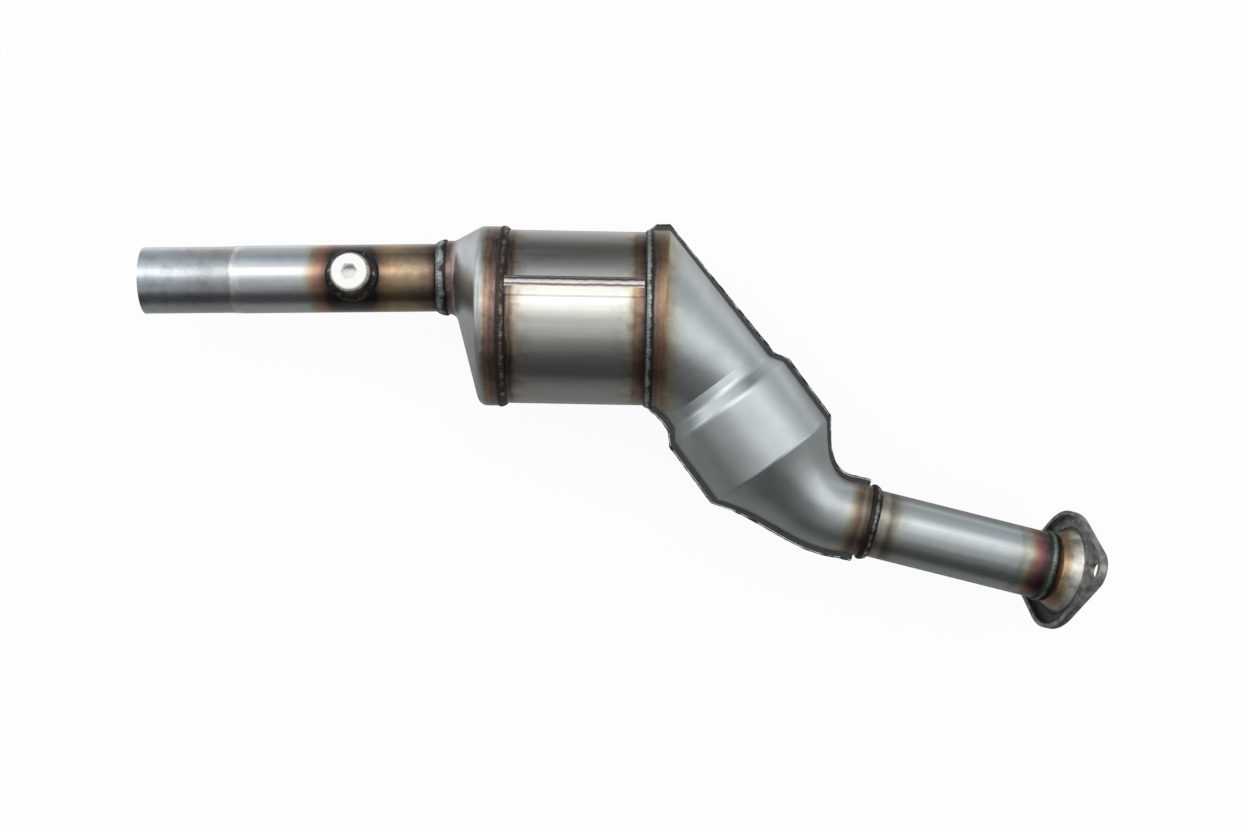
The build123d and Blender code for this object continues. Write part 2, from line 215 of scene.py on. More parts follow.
def wear(board, material, colour, rough, height, metal=1.0, coat=0.0, facing=None):
    sockets = {"Height": height, "Distance": bumpDepth, "Strength": 1.0}
    if facing:
        sockets["Normal"] = facing
    bump = board.node("Bump", {}, sockets)
    shader = board.node("BsdfPrincipled", {}, {"Base Color": colour, "Roughness": rough,
                                               "Metallic": metal, "Coat Weight": coat,
                                               "Coat Roughness": coatRough, "Normal": bump})
    board.node("OutputMaterial", {}, {"Surface": shader})
    return material


# Drawn or rolled stainless sheet: lengthwise grain, soft waves, smudges and bands: the tints of heat, and
# in some bands painted highlights and painted shade.
# Sizes are in millimetres, and a span is where a mask starts and where it is full.
plainSteel = {
    "colour": (0.56, 0.59, 0.61), "colour2": (0.49, 0.52, 0.54), "streakSpan": (0.35, 0.7),
    "smudge": 0.15, "smudgeColour": (0.42, 0.44, 0.45), "smudgeSize": 14.0, "smudgeSpan": (0.5, 0.75),
    "rough": 0.20, "roughVary": 0.08, "grainRough": 0.12,
    "grain": (60.0, 0.5, 0.5), "streak": (140.0, 5.0, 5.0), "turn": (0, 0, 0),
    "grainDepth": 0.012, "waveSize": 26.0, "waveDepth": 0.3, "pitSize": 1.3, "pitDepth": 0.008,
    "waver": 6.0, "waverSize": 15.0, "jitter": 0.6, "seamWaver": 0.06,
    "oxideRough": 0.03, "oxideGloss": 0.5,
    "soot": 0.5, "sootColour": (0.42, 0.40, 0.40), "sootSize": 11.0, "sootSpan": (0.40, 0.68),
}


def steel(name, look, tints, easeStep=None):
    material, board = newMaterial(name)
    spot = board.place()
    grain = board.cloud(board.stretch(spot, look["grain"], look["turn"]), detail=4.0, rough=0.6)
    streaks = board.cloud(board.stretch(spot, look["streak"], look["turn"]))
    waves = board.cloud(spot, look["waveSize"], detail=2.0)
    smudge = board.cloud(spot, look["smudgeSize"], detail=5.0, rough=0.6)
    fine = board.cloud(spot, look["pitSize"])
    colour = board.blend(board.step(streaks, *look["streakSpan"]), look["colour"], look["colour2"])
    smudged = board.step(smudge, *look["smudgeSpan"]) * look["smudge"]
    colour = board.blend(smudged, colour, look["smudgeColour"])
    rough = look["rough"] + (smudge - 0.5) * look["roughVary"] + (grain - 0.5) * look["grainRough"]
    oxide = 0.0
    waver = board.cloud(spot, look["waverSize"], detail=4.0)
    stray = (waver - 0.5) * look["waver"] + (fine - 0.5) * look["jitter"]
    soot = board.cloud(spot, look["sootSize"], detail=5.0, rough=0.6)
    soot = board.step(soot, *look["sootSpan"]) * look["soot"]
    for station, shape, low, high, stops in tints:
        distance = shape(board, spot, station) + stray * (look["seamWaver"] if shape is besideSeam else 1.0)
        band = board.ramp(distance, low, high, stops)
        strength = band.out("Alpha")
        band = board.blend(soot, band, look["sootColour"], "MULTIPLY")
        colour = board.blend(strength, colour, band)
        oxide = oxide + strength
    coat = oxide.clamp() * look["oxideGloss"] if tints else 0.0
    rough = (rough + oxide * look["oxideRough"]).clamp()
    height = grain * look["grainDepth"] + waves * look["waveDepth"] + fine * look["pitDepth"]
    facing = easeStep(board, spot) if easeStep else None
    return wear(board, material, colour, rough, height, coat=coat, facing=facing)


def ringTint(board, spot, station):
    return board.along(spot, stations[station])


def besideSeam(board, spot, station):  # how far above or below the plane where the halves meet
    height = board.node("SeparateXYZ", {}, {0: spot}, "Z")
    return board.size(height)


sideShare = math.sqrt(0.3)  # how much a step aside counts in the tints round the boss


def aroundBoss(board, spot, station):  # minus behind the boss and plus ahead of it, bent round it
    point, way = stations[station]
    parts = board.node("SeparateXYZ", {}, {0: spot}, "X")
    ahead = parts - point.x * perMetre
    away = board.length(ahead, parts.out("Y") * sideShare)
    return away * board.node("Math", {"operation": "SIGN"}, {0: ahead})


def dress(name, material):
    piece = nodes[name]
    piece.data.materials.clear()
    piece.data.materials.append(material)


# Rear pipe, burnt round the sensor boss and gold towards the cone
rearPipeTintsAndHighlight = [
    ("mouth", ringTint, -5.0, 82.0, [
        (-5.0, (0.50, 0.56, 0.60), 0.8), (20.0, (0.46, 0.50, 0.54), 0.8),
        (48.0, (0.38, 0.40, 0.42), 0.8), (67.5, (0.37, 0.39, 0.40), 0.8),
        # The pale ring from about 68 to 77 mm is a painted highlight of the step at the spigot's end
        (70.0, (0.74, 0.77, 0.79), 0.95), (73.5, (0.70, 0.72, 0.74), 0.7),
        (77.0, (0.6, 0.6, 0.6), 0.0)]),
    ("bossCentre", aroundBoss, -46.0, 64.0, [
        (-46.0, (0.50, 0.50, 0.48), 0.0), (-37.0, (0.50, 0.49, 0.43), 0.3),
        (-32.0, (0.44, 0.36, 0.26), 0.9), (-28.0, (0.36, 0.22, 0.15), 1.0),
        (-24.8, (0.32, 0.165, 0.13), 1.0), (-21.5, (0.17, 0.085, 0.065), 1.0),
        (-18.9, (0.065, 0.050, 0.042), 1.0), (0.0, (0.060, 0.055, 0.050), 1.0),
        (18.0, (0.050, 0.042, 0.038), 1.0), (20.0, (0.13, 0.080, 0.070), 1.0),
        (22.0, (0.24, 0.145, 0.095), 1.0), (26.0, (0.34, 0.22, 0.13), 1.0),
        (30.0, (0.38, 0.26, 0.15), 1.0), (36.0, (0.34, 0.25, 0.155), 1.0),
        (47.0, (0.33, 0.245, 0.155), 1.0), (51.5, (0.28, 0.19, 0.12), 1.0),
        (55.0, (0.25, 0.17, 0.12), 1.0), (57.8, (0.17, 0.11, 0.085), 1.0),
        (60.8, (0.045, 0.035, 0.03), 1.0)])]
rearPipeLook = {**plainSteel, "waver": 7.0}
dress("rear_pipe", steel("rearPipeSteel", rearPipeLook, rearPipeTintsAndHighlight))

# Pressed end cone, satin, with copper and brown rings at its welds; next to the neck weld the brown is
# darkened further, a painted dark reflection of the floor
coneTintsAndShade = [
    ("neckEdge", ringTint, -4.0, 30.0, [
        (-4.0, (0.060, 0.048, 0.042), 1.0), (5.0, (0.085, 0.066, 0.058), 1.0),
        (7.5, (0.22, 0.165, 0.14), 1.0), (10.5, (0.28, 0.20, 0.17), 1.0),
        (13.0, (0.44, 0.37, 0.34), 0.7), (17.0, (0.50, 0.49, 0.47), 0.0),
        (30.0, (0.50, 0.50, 0.50), 0.0)]),
    ("skirtEdge", ringTint, -20.0, 3.0, [
        (-20.0, (0.5, 0.5, 0.5), 0.0), (-14.0, (0.50, 0.48, 0.42), 0.3),
        (-11.6, (0.44, 0.38, 0.28), 0.85), (-9.8, (0.27, 0.20, 0.14), 1.0),
        (-8.2, (0.36, 0.24, 0.17), 1.0), (-6.8, (0.27, 0.16, 0.115), 1.0),
        (-5.3, (0.19, 0.12, 0.095), 1.0), (-3.9, (0.25, 0.16, 0.14), 1.0),
        (-2.5, (0.16, 0.105, 0.095), 1.0), (-1.0, (0.17, 0.125, 0.11), 1.0),
        (0.6, (0.10, 0.08, 0.07), 1.0), (3.0, (0.05, 0.045, 0.04), 1.0)])]
coneLook = {
    **plainSteel, "colour": (0.54, 0.57, 0.58), "colour2": (0.47, 0.50, 0.51), "rough": 0.30,
    "grain": (1.5, 1.5, 1.5), "streak": (9.0, 22.0, 22.0), "waveDepth": 0.25, "waver": 4.5,
    "soot": 0.85}
dress("rear_cone", steel("coneSteel", coneLook, coneTintsAndShade))

# Rolled can, polished, with its seam's tints
canTints = [
    ("skirtEdge", ringTint, 0.0, 36.0, [
        (0.0, (0.05, 0.04, 0.036), 1.0), (5.4, (0.055, 0.045, 0.036), 1.0),
        (6.6, (0.20, 0.15, 0.12), 1.0), (8.2, (0.13, 0.095, 0.065), 1.0),
        (9.6, (0.25, 0.18, 0.125), 1.0), (11.5, (0.42, 0.35, 0.27), 0.9),
        (14.0, (0.48, 0.43, 0.35), 0.7), (20.0, (0.52, 0.50, 0.44), 0.35),
        (32.0, (0.55, 0.54, 0.5), 0.0)]),
    ("elbowEdge", ringTint, -30.0, 2.0, [
        (-30.0, (0.55, 0.54, 0.5), 0.0), (-17.0, (0.54, 0.52, 0.44), 0.45),
        (-12.8, (0.48, 0.43, 0.31), 0.9), (-10.6, (0.32, 0.24, 0.15), 1.0),
        (-8.2, (0.34, 0.21, 0.145), 1.0), (-6.4, (0.24, 0.145, 0.105), 1.0),
        (-5.2, (0.18, 0.115, 0.095), 1.0), (-3.8, (0.08, 0.06, 0.05), 1.0),
        (2.0, (0.06, 0.05, 0.045), 1.0)])]


# Where the lap's little ramp starts and ends, as shares of the can's radius aside, and how much
# of it is shaded as the round can beside it
lapRamp = {"starts": (0.155, 0.172), "ends": (0.200, 0.215), "upSpan": (0.0, 0.2), "share": 0.8}


def easeLap(board, spot):
    start, way = stations["skirtEdge"]
    shifted = board.node("VectorMath", {"operation": "SUBTRACT"}, {0: spot, 1: start * perMetre})
    along = board.along(spot, stations["skirtEdge"])
    onAxis = board.node("VectorMath", {"operation": "SCALE"}, {0: way, "Scale": along})
    radial = board.node("VectorMath", {"operation": "SUBTRACT"}, {0: shifted, 1: onAxis})
    radial = board.node("VectorMath", {"operation": "NORMALIZE"}, {0: radial})
    aside = board.node("SeparateXYZ", {}, {0: radial}, "Y")
    nearLap = board.step(aside, *lapRamp["starts"]) * (1.0 - board.step(aside, *lapRamp["ends"]))
    nearLap = nearLap * board.step(aside.out("Z"), *lapRamp["upSpan"]) * lapRamp["share"]
    plain = board.node("NewGeometry", {}, {}, "Normal")
    return board.node("Mix", {"data_type": "VECTOR"}, {0: nearLap, 4: plain, 5: radial}, 1)


canLook = {
    **plainSteel, "colour": (0.56, 0.56, 0.53), "colour2": (0.51, 0.51, 0.475), "rough": 0.21,
    "smudgeColour": (0.44, 0.44, 0.42), "turn": (0, 0, -math.radians(line["canTurn"])),
    "waveSize": 40.0, "waveDepth": 0.2, "waver": 4.5, "soot": 0.8}
dress("shell", steel("canSteel", canLook, canTints, easeLap))

# Stamped elbow, satin, cool grey, burnt along its lips, with a pale line beside them that is a painted
# highlight
elbowTints = [
    ("elbowEdge", ringTint, -2.0, 32.0, [
        (-2.0, (0.06, 0.05, 0.045), 1.0), (3.0, (0.075, 0.062, 0.05), 1.0),
        (4.6, (0.20, 0.16, 0.12), 1.0), (6.2, (0.20, 0.13, 0.09), 1.0),
        (8.4, (0.32, 0.19, 0.12), 1.0), (10.3, (0.30, 0.19, 0.115), 1.0),
        (12.0, (0.36, 0.27, 0.17), 1.0), (14.6, (0.44, 0.38, 0.26), 0.9),
        (17.5, (0.48, 0.45, 0.34), 0.7), (21.5, (0.50, 0.50, 0.42), 0.4),
        (28.0, (0.47, 0.5, 0.48), 0.0)]),
    ("frontEdge", ringTint, -34.0, 1.0, [
        (-34.0, (0.47, 0.5, 0.48), 0.0), (-21.0, (0.45, 0.44, 0.38), 0.4),
        (-17.0, (0.37, 0.32, 0.23), 0.85), (-13.5, (0.24, 0.17, 0.115), 1.0),
        (-10.5, (0.16, 0.11, 0.08), 1.0), (-8.2, (0.25, 0.19, 0.14), 1.0),
        (-5.5, (0.11, 0.085, 0.068), 1.0), (1.0, (0.045, 0.04, 0.036), 1.0)])]
elbowLook = {**plainSteel, "colour": (0.56, 0.605, 0.61), "colour2": (0.51, 0.55, 0.56),
             "smudgeColour": (0.47, 0.505, 0.51), "rough": 0.36, "roughVary": 0.12,
             "grain": (2.5, 2.5, 2.5), "streak": (24.0, 24.0, 24.0), "waveSize": 34.0,
             "waveDepth": 0.3, "waver": 5.0}
# Dark along the lips from burning, then a pale band painted as the highlight where the body meets the lip
seamBurnAndHighlight = (None, besideSeam, 0.0, 14.0, [
    (0.0, (0.035, 0.035, 0.037), 1.0), (1.9, (0.050, 0.052, 0.055), 1.0),
    (2.8, (0.55, 0.57, 0.57), 0.9), (6.0, (0.56, 0.58, 0.58), 0.5), (11.0, (0.5, 0.5, 0.5), 0.0)])
elbowSteel = steel("elbowSteel", elbowLook, elbowTints + [seamBurnAndHighlight])
dress("elbow_upper_half", elbowSteel)
dress("elbow_lower_half", elbowSteel)

# Front pipe, burnt at the elbow and straw to magenta at the socket
frontTints = [
    ("frontEdge", ringTint, -2.0, 34.0, [
        (-2.0, (0.03, 0.028, 0.025), 1.0), (3.2, (0.035, 0.032, 0.028), 1.0),
        (5.0, (0.30, 0.275, 0.235), 1.0), (9.0, (0.40, 0.37, 0.31), 1.0),
        (13.0, (0.17, 0.16, 0.125), 1.0), (17.0, (0.27, 0.26, 0.21), 0.95),
        (21.0, (0.40, 0.40, 0.35), 0.6), (28.0, (0.46, 0.48, 0.45), 0.2),
        (34.0, (0.5, 0.53, 0.53), 0.0)]),
    ("pipeEnd", ringTint, -44.0, 2.0, [
        (-44.0, (0.5, 0.53, 0.53), 0.0), (-27.0, (0.46, 0.48, 0.45), 0.3),
        (-24.0, (0.36, 0.37, 0.32), 0.8), (-21.0, (0.42, 0.42, 0.35), 0.8),
        (-17.5, (0.40, 0.35, 0.25), 0.95), (-15.5, (0.34, 0.23, 0.17), 1.0),
        (-12.5, (0.27, 0.115, 0.105), 1.0), (-9.6, (0.16, 0.065, 0.070), 1.0),
        (-6.8, (0.065, 0.036, 0.036), 1.0), (2.0, (0.035, 0.033, 0.030), 1.0)])]
frontLook = {
    **plainSteel, "colour": (0.50, 0.54, 0.545), "colour2": (0.45, 0.485, 0.49), "rough": 0.28,
    "turn": (0, 0, -math.radians(line["frontTurn"])), "waver": 8.0}
dress("front_pipe", steel("frontPipeSteel", frontLook, frontTints))

# Flared socket, the hottest end: copper and gold tints of heat, then towards the rim a silver paler than
# bare steel, painted as the flare's highlight
socketTintsAndHighlight = [("pipeEnd", ringTint, -2.0, 26.0, [
    (-2.0, (0.05, 0.045, 0.040), 1.0), (3.2, (0.05, 0.038, 0.030), 1.0),
    (4.6, (0.16, 0.085, 0.055), 1.0), (6.2, (0.36, 0.20, 0.12), 1.0),
    (8.2, (0.42, 0.27, 0.16), 1.0), (10.2, (0.40, 0.29, 0.17), 1.0),
    (12.0, (0.48, 0.39, 0.27), 1.0), (14.0, (0.60, 0.56, 0.48), 0.95),
    (17.0, (0.68, 0.67, 0.63), 0.9), (26.0, (0.66, 0.66, 0.63), 0.9)])]
socketLook = {
    **plainSteel, "colour": (0.55, 0.53, 0.48), "rough": 0.29, "grain": (1.2, 1.2, 1.2),
    "streak": (8.0, 8.0, 8.0), "waveDepth": 0.15, "waver": 6.0, "soot": 0.85}
dress("flared_socket", steel("socketSteel", socketLook, socketTintsAndHighlight))
print("sheet steel dressed")

# Pressed flange: mottled grey rim, and painted shade in the hollow behind it. The painted shade lies
# between rim and face, in millimetres before the face, and fades out along +X.
flangeLook = {
    "scale": (0.19, 0.193, 0.188), "bare": (0.42, 0.425, 0.415), "patchSize": 6.0,
    "patchSpan": (0.36, 0.66), "rust": (0.17, 0.12, 0.09), "speckSize": 1.4, "speckSpan": (0.58, 0.7),
    "rustShare": 0.4, "hollowShade": (0.055, 0.056, 0.055), "hollowShadeShare": 0.85,
    "rimSpan": (-7.4, -6.4), "faceSpan": (-2.9, -2.6), "fadeSpan": (680.0, 694.0), "rough": 0.46,
    "patchRough": 0.35, "speckRough": 0.2, "patchDepth": 0.2, "speckDepth": 0.06, "metal": 0.8,
}


def makeFlangeSteel(look):
    material, board = newMaterial("flangeSteel")
    spot = board.place()
    patch = board.cloud(spot, look["patchSize"], detail=6.0, rough=0.62)
    speck = board.cloud(spot, look["speckSize"], rough=0.6)
    depth = board.along(spot, stations["flangeFace"])
    shadedHollow = board.step(depth, *look["rimSpan"]) * (1.0 - board.step(depth, *look["faceSpan"]))
    ahead = board.node("SeparateXYZ", {}, {0: spot}, "X")
    shadedHollow = shadedHollow * (1.0 - board.step(ahead, *look["fadeSpan"])) * look["hollowShadeShare"]
    rusty = board.step(speck, *look["speckSpan"]) * look["rustShare"]
    colour = board.blend(board.step(patch, *look["patchSpan"]), look["scale"], look["bare"])
    colour = board.blend(rusty, colour, look["rust"])
    colour = board.blend(shadedHollow, colour, look["hollowShade"])
    rough = look["rough"] + (patch - 0.5) * look["patchRough"] + (speck - 0.5) * look["speckRough"]
    height = patch * look["patchDepth"] + speck * look["speckDepth"]
    return wear(board, material, colour, rough.clamp(), height, metal=look["metal"])


dress("flange", makeFlangeSteel(flangeLook))

# Sensor boss, turned steel gone dark
bossLook = {**plainSteel, "colour": (0.30, 0.27, 0.25), "colour2": (0.17, 0.15, 0.14), "rough": 0.38,
            "grain": (8.0, 8.0, 0.25), "streak": (5.0, 5.0, 3.0), "smudge": 0.7,
            "smudgeColour": (0.05, 0.04, 0.038), "waveDepth": 0.05}  # grain runs round the boss
dress("sensor_boss", steel("bossSteel", bossLook, []))

# Plastic plug, moulded, faintly soiled, with the shade of the hexagon's far wall. Spans of the
# recess are in millimetres from its middle.
plugLook = {
    "colour": (0.93, 0.93, 0.92), "soil": (0.74, 0.72, 0.69), "soilSpan": (0.58, 0.78),
    "soilShare": 0.3, "rough": 0.36, "recess": (0.16, 0.165, 0.165), "recessShare": 0.85,
    "farWallSpan": (0.4, 3.6), "recessSpan": (5.1, 5.4), "soilSize": 4.0, "soilRough": 0.2,
    "skinSize": 0.35, "skinDepth": 0.01,
}


def makePlugPlastic(look):
    material, board = newMaterial("plugPlastic")
    spot = board.place()
    soil = board.cloud(spot, look["soilSize"], detail=5.0, rough=0.6)
    skin = board.cloud(spot, look["skinSize"], detail=2.0)
    soiled = board.step(soil, *look["soilSpan"]) * look["soilShare"]
    colour = board.blend(soiled, look["colour"], look["soil"])
    centre, axis = stations["bossCentre"]
    ahead = board.along(spot, (centre, rearWay))
    aside = board.along(spot, (centre, axis.cross(rearWay)))
    away = board.length(ahead, aside)
    wall = board.step(aside, *look["farWallSpan"]) * (1.0 - board.step(away, *look["recessSpan"]))
    colour = board.blend(wall * look["recessShare"], colour, look["recess"])
    rough = look["rough"] + (soil - 0.5) * look["soilRough"]
    return wear(board, material, colour, rough, skin * look["skinDepth"], metal=0.0)


dress("sensor_plug", makePlugPlastic(plugLook))

# Weld metal: dark in its grooves and along its toes, silver in patches on its crest
rippleMean = 0.6  # of a ripple's height, between 0 and 1
darkBead = {
    "groove": (0.045, 0.040, 0.036), "crest": (0.34, 0.36, 0.355), "crestWidth": 1.5,
    "darkTo": 0.3, "brightFrom": 1.1, "patchSize": 6.0, "patchShare": 2.6, "patchSway": 1.2,
    "rippleShare": 0.14, "slag": (0.07, 0.055, 0.045), "slagSize": 0.9, "slagSpan": (0.6, 0.72),
    "slagShare": 0.6, "rough": 0.30, "grooveRough": 0.16, "slagRough": 0.25, "slagDepth": 0.08,
    "patchDepth": 0.12, "metal": 0.9,
}


def makeBead(name, look):
    material, board = newMaterial(name)
    spot = board.place()
    ripple = board.node("Attribute", {"attribute_name": "ripple"}, {}, "Fac")
    across = board.node("Attribute", {"attribute_name": "across"}, {}, "Fac")
    patch = board.cloud(spot, look["patchSize"], detail=4.0, rough=0.6)
    speck = board.cloud(spot, look["slagSize"], rough=0.6)
    middle = across * look["crestWidth"] + (patch - 0.5) * look["patchSway"]
    crest = 1.0 - middle * middle + (ripple - rippleMean) * look["rippleShare"]
    crest = crest + (patch - 0.5) * look["patchShare"]
    bright = board.step(crest, look["darkTo"], look["brightFrom"])
    slag = board.step(speck, *look["slagSpan"]) * look["slagShare"]
    colour = board.blend(bright, look["groove"], look["crest"])
    colour = board.blend(slag, colour, look["slag"])
    rough = look["rough"] + (1.0 - bright) * look["grooveRough"] + (speck - 0.5) * look["slagRough"]
    height = speck * look["slagDepth"] + patch * look["patchDepth"]
    return wear(board, material, colour, rough.clamp(), height, metal=look["metal"])


beadLooks = {
    "rear_collar_weld": {**darkBead, "crest": (0.36, 0.40, 0.395), "patchSize": 9.0,
                         "patchShare": 3.2, "crestWidth": 1.2, "darkTo": 0.35, "brightFrom": 1.25},
    "rear_girth_weld": {**darkBead, "groove": (0.06, 0.045, 0.038), "crest": (0.30, 0.27, 0.25),
                        "patchShare": 3.0, "darkTo": 0.6, "brightFrom": 1.7},
    "front_girth_weld": {**darkBead, "crest": (0.32, 0.35, 0.345), "crestWidth": 1.6,
                         "patchShare": 2.4, "darkTo": 0.2},
    "front_collar_weld": {**darkBead, "groove": (0.028, 0.027, 0.025), "crest": (0.34, 0.33, 0.30),
                          "patchShare": 2.8, "darkTo": 0.55, "brightFrom": 1.5},
    "socket_weld": {**darkBead, "groove": (0.045, 0.05, 0.046), "crest": (0.19, 0.22, 0.20),
                    "darkTo": 0.2},
    "sensor_boss_weld": {**darkBead, "groove": (0.035, 0.034, 0.032), "crest": (0.34, 0.34, 0.33),
                         "slag": (0.05, 0.043, 0.038), "patchSize": 5.0, "patchShare": 3.6,
                         "rippleShare": 0.05, "darkTo": 1.1, "brightFrom": 1.9},
}


# The fine seam on the can, by how far from its middle: pale, burnt along both toes, pale again
canSeamLook = {
    "straySize": 6.0, "stray": 0.3, "strayRough": 0.2, "strayDepth": 0.1, "rough": 0.26,
    "rippleDepth": 0.03, "bands": [
        (0.0, (0.58, 0.56, 0.55), 1), (0.20, (0.52, 0.49, 0.48), 1), (0.36, (0.12, 0.09, 0.085), 1),
        (0.56, (0.13, 0.095, 0.09), 1), (0.74, (0.50, 0.48, 0.46), 1), (1.0, (0.54, 0.53, 0.50), 1)],
}


def makeSeamBead(look):
    material, board = newMaterial("canSeamMetal")
    spot = board.place()
    across = board.node("Attribute", {"attribute_name": "across"}, {}, "Fac")
    ripple = board.node("Attribute", {"attribute_name": "ripple"}, {}, "Fac")
    stray = board.cloud(spot, look["straySize"], detail=4.0)
    away = board.size(across + (stray - 0.5) * look["stray"])
    colour = board.ramp(away, 0.0, 1.0, look["bands"])
    rough = look["rough"] + (stray - 0.5) * look["strayRough"]
    height = ripple * look["rippleDepth"] + stray * look["strayDepth"]
    return wear(board, material, colour, rough, height)


# Geometry nodes that sweep a rippled bead along a path with an up direction at each point
beadForm = {"sides": 18, "stepsPerRipple": 7.0, "lumpScale": 110.0, "gritScale": 350.0,
            "gritShare": 0.5, "sway": 1.6, "curl": 0.8, "toeCalm": 0.6}


def beadTree(form):
    tree = bpy.data.node_groups.new("weldBead", "GeometryNodeTree")
    tree.interface.new_socket("Geometry", in_out="OUTPUT", socket_type="NodeSocketGeometry")
    tree.interface.new_socket("Path", in_out="INPUT", socket_type="NodeSocketGeometry")
    for name in ("Half width", "Height", "Sunk", "Pitch", "Ripple depth", "Waver", "Seed"):
        tree.interface.new_socket(name, in_out="INPUT", socket_type="NodeSocketFloat")
    tree.interface.new_socket("Metal", in_out="INPUT", socket_type="NodeSocketMaterial")
    board = Board(tree, "GeometryNode")
    given = board.node("NodeGroupInput", {}, {})
    pitch, seed = given.out("Pitch"), given.out("Seed")
    path = board.node("MeshToCurve", {}, {"Mesh": given.out("Path")})
    path = board.node("ResampleCurve", {"mode": "LENGTH"},
                      {"Curve": path, "Length": pitch / form["stepsPerRipple"]})
    up = board.node("InputNamedAttribute", {"data_type": "FLOAT_VECTOR"}, {"Name": "up"})
    path = board.node("SetCurveNormal", {"mode": "FREE"}, {"Curve": path, "Normal": up})
    travel = board.node("SplineParameter", {}, {}, "Length")
    path = board.node("StoreNamedAttribute", {"data_type": "FLOAT"},
                      {"Geometry": path, "Name": "travel", "Value": travel})
    section = board.node("CurvePrimitiveCircle", {"mode": "RADIUS"},
                         {"Resolution": form["sides"], "Radius": 1.0})
    spot = board.node("InputPosition", {}, {})
    sides = board.node("SeparateXYZ", {}, {0: spot}, "X")
    section = board.node("StoreNamedAttribute", {"data_type": "FLOAT"},
                         {"Geometry": section, "Name": "across", "Value": sides.out("Y")})
    low = board.node("Math", {"operation": "MAXIMUM"}, {0: sides, 1: given.out("Sunk") * -1.0})
    shaped = board.node("CombineXYZ", {}, {"X": low * given.out("Height"),
                                           "Y": sides.out("Y") * given.out("Half width")})
    section = board.node("SetPosition", {}, {"Geometry": section, "Position": shaped})
    swept = board.node("CurveToMesh", {}, {"Curve": path, "Profile Curve": section, "Fill Caps": True})
    gone = board.node("InputNamedAttribute", {"data_type": "FLOAT"}, {"Name": "travel"})
    across = board.node("InputNamedAttribute", {"data_type": "FLOAT"}, {"Name": "across"})
    grit, lumps = [board.node("TexNoise", {"noise_dimensions": "4D"},
                              {"Vector": spot, "W": seed, "Scale": scale, "Detail": detail})
                   for scale, detail in ((form["gritScale"], 2.0), (form["lumpScale"], 1.0))]
    phase = gone / pitch + across * across * -form["curl"] + lumps * form["sway"]
    ripple = board.size(board.node("Math", {"operation": "SINE"}, {0: phase * math.pi}))
    calm = 1.0 - across * across * form["toeCalm"]
    swell = (ripple - rippleMean) * calm * given.out("Ripple depth")
    waver = given.out("Waver")
    swell = swell + (lumps - 0.5) * waver + (grit - 0.5) * waver * form["gritShare"]
    out = board.node("InputNormal", {}, {})
    shift = board.node("VectorMath", {"operation": "SCALE"}, {0: out, "Scale": swell})
    bead = board.node("SetPosition", {}, {"Geometry": swept, "Offset": shift})
    bead = board.node("StoreNamedAttribute", {"data_type": "FLOAT"},
                      {"Geometry": bead, "Name": "ripple", "Value": ripple})
    bead = board.node("SetShadeSmooth", {}, {"Geometry": bead})
    bead = board.node("RealizeInstances", {}, {"Geometry": bead})
    bead = board.node("SetMaterial", {}, {"Geometry": bead, "Material": given.out("Metal")})
    board.node("NodeGroupOutput", {}, {0: bead})
    return tree


weldBead = beadTree(beadForm)


def sweepBead(node, points, ups, closed, sizes):
    mesh = bpy.data.meshes.new(node + "Path")
    last = len(points) - 1
    edges = [(i, i + 1) for i in range(last)] + ([(last, 0)] if closed else [])
    mesh.from_pydata(points, edges, [])
    attribute = mesh.attributes.new("up", "FLOAT_VECTOR", "POINT")
    for i, up in enumerate(ups):
        attribute.data[i].vector = up
    path = bpy.data.objects.new(node + "Path", mesh)
    bpy.context.scene.collection.objects.link(path)
    modifier = path.modifiers.new("bead", "NODES")
    modifier.node_group = weldBead
    fine = node not in beadLooks
    metal = makeSeamBead(canSeamLook) if fine else makeBead(node + "Metal", beadLooks[node])
    values = {**sizes, "Metal": metal}
    for item in weldBead.interface.items_tree:
        if item.in_out == "INPUT" and item.name in values:
            modifier[item.identifier] = values[item.name]
    evaluated = path.evaluated_get(bpy.context.evaluated_depsgraph_get())
    made = bpy.data.meshes.new_from_object(evaluated)
    path.modifiers.clear()
    bpy.data.objects.remove(path)
    piece = bpy.data.objects.new(node + "_bead", made)
    bpy.context.scene.collection.objects.link(piece)
    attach(piece, "root")
    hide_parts(node)


ringPoints = 96
ringStart = 0.37  # of a point's share, where the ring's ends meet


def ring(station, shift, radius, lean):  # lean tips the bead's up direction along the pipe
    point, way = stations[station]
    side = Vector((0, 0, 1)).cross(way).normalized()
    top = way.cross(side).normalized()
    centre = point + way * shift
    points, ups = [], []
    for i in range(ringPoints):
        angle = 2 * math.pi * (i + ringStart) / ringPoints
        outward = side * math.cos(angle) + top * math.sin(angle)
        points.append(centre + outward * radius)
        ups.append((outward + way * lean).normalized())
    return points, ups


beadSizes = {"Half width": 0.0036, "Height": 0.0018, "Sunk": 0.35, "Pitch": 0.0026,
             "Ripple depth": 0.00016, "Waver": 0.0009, "Seed": 1.0}
